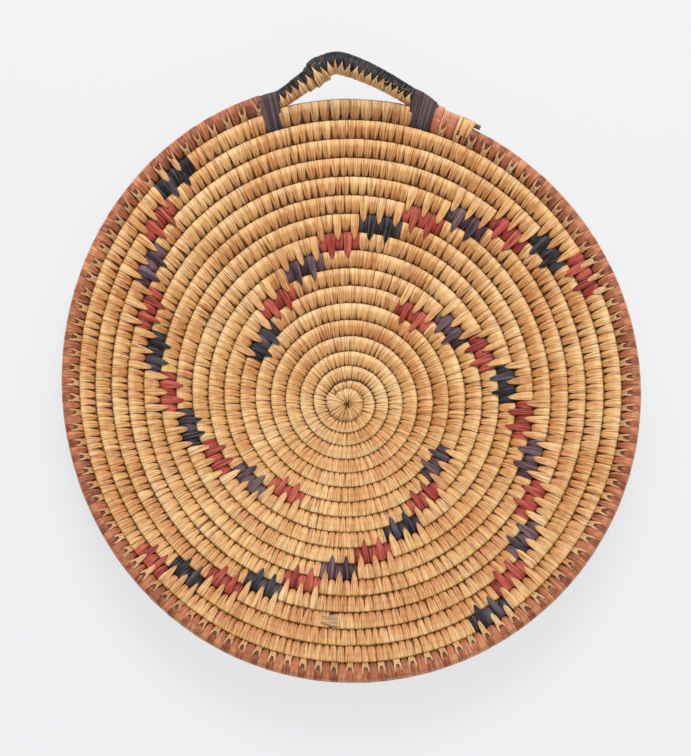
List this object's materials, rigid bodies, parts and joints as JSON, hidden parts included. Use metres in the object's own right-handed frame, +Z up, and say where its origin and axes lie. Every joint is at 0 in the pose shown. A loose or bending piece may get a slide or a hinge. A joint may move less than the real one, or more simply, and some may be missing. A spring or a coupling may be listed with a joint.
{
  "type": "coiled grass basket tray",
  "caption": "Shallow round tray of coiled, sewn grass, with swirling arms of dyed blocks, a laced rim and a loop handle made from the coil's own end.",
  "frame": {"origin": "where the middle of the coil rests on the table: on the flat underside of the centre button", "axes": "+Z up out of the dish, +Y from the middle of the coil towards the loop handle, +X to the right seen from above with the handle at the top"},
  "size_m": [0.2734, 0.305, 0.0377],
  "materials": {
    "split_grass": "dry split grass, satin, with fine lengthwise fibres, straw to tan",
    "grass_bundle": "dry whole grass stems, matt",
    "red_grass": "grass dyed red, satin, worn",
    "black_grass": "grass dyed blue-black, satin, worn",
    "purple_grass": "grass dyed dark purple, satin, worn",
    "rim_red_grass": "grass dyed reddish brown, satin, worn",
    "binding_grass": "fine grass strands dyed grey, satin",
    "mended_grass": "greyed, frayed grass, matt"
  },
  "bodies": {
    "root": {"bottom_arm_block_01_red": "red_grass", "bottom_arm_block_02_black": "black_grass", "bottom_arm_block_03_red": "red_grass", "bottom_arm_block_04_black": "black_grass", "bottom_arm_block_05_red": "red_grass", "bottom_arm_block_06_purple": "purple_grass", "bottom_arm_block_07_red": "red_grass", "bottom_arm_block_08_black": "black_grass", "bottom_arm_block_09_red": "red_grass", "bottom_arm_block_10_purple": "purple_grass", "centre_button": "split_grass", "grass_bundle": "grass_bundle", "handle_black_wrap": "black_grass", "handle_straw_wrap": "split_grass", "left_arm_block_01_black": "black_grass", "left_arm_block_02_red": "red_grass", "left_arm_block_03_purple": "purple_grass", "left_arm_block_04_red": "red_grass", "left_arm_block_05_black": "black_grass", "left_arm_block_06_red": "red_grass", "left_arm_block_07_black": "black_grass", "left_arm_block_08_red": "red_grass", "left_arm_block_09_purple": "purple_grass", "left_arm_block_10_red": "red_grass", "left_binding": "binding_grass", "mended_stitches": "mended_grass", "right_arm_block_01_black": "black_grass", "right_arm_block_02_red": "red_grass", "right_arm_block_03_purple": "purple_grass", "right_arm_block_04_red": "red_grass", "right_arm_block_05_purple": "purple_grass", "right_arm_block_06_red": "red_grass", "right_arm_block_07_black": "black_grass", "right_arm_block_08_red": "red_grass", "right_arm_block_09_purple": "purple_grass", "right_arm_block_10_red": "red_grass", "right_binding": "binding_grass", "rim_red_lacing": "rim_red_grass", "rim_straw_forks": "split_grass", "straw_stitches_rows_01_02": "split_grass", "straw_stitches_rows_03_04": "split_grass", "straw_stitches_rows_05_06": "split_grass", "straw_stitches_rows_07_08": "split_grass", "straw_stitches_rows_09_10": "split_grass", "straw_stitches_rows_11_12": "split_grass", "straw_stitches_rows_13_14": "split_grass", "straw_stitches_rows_15_16": "split_grass", "straw_stitches_under_handle": "split_grass", "tail_wrap": "split_grass", "upper_arm_block_01_red": "red_grass", "upper_arm_block_02_black": "black_grass", "upper_arm_block_03_red": "red_grass", "upper_arm_block_04_purple": "purple_grass", "upper_arm_block_05_red": "red_grass", "upper_arm_block_06_black": "black_grass", "upper_arm_block_07_red": "red_grass", "upper_arm_block_08_purple": "purple_grass", "upper_arm_block_09_red": "red_grass", "upper_arm_block_10_black": "black_grass"}
  },
  "joints": []
}
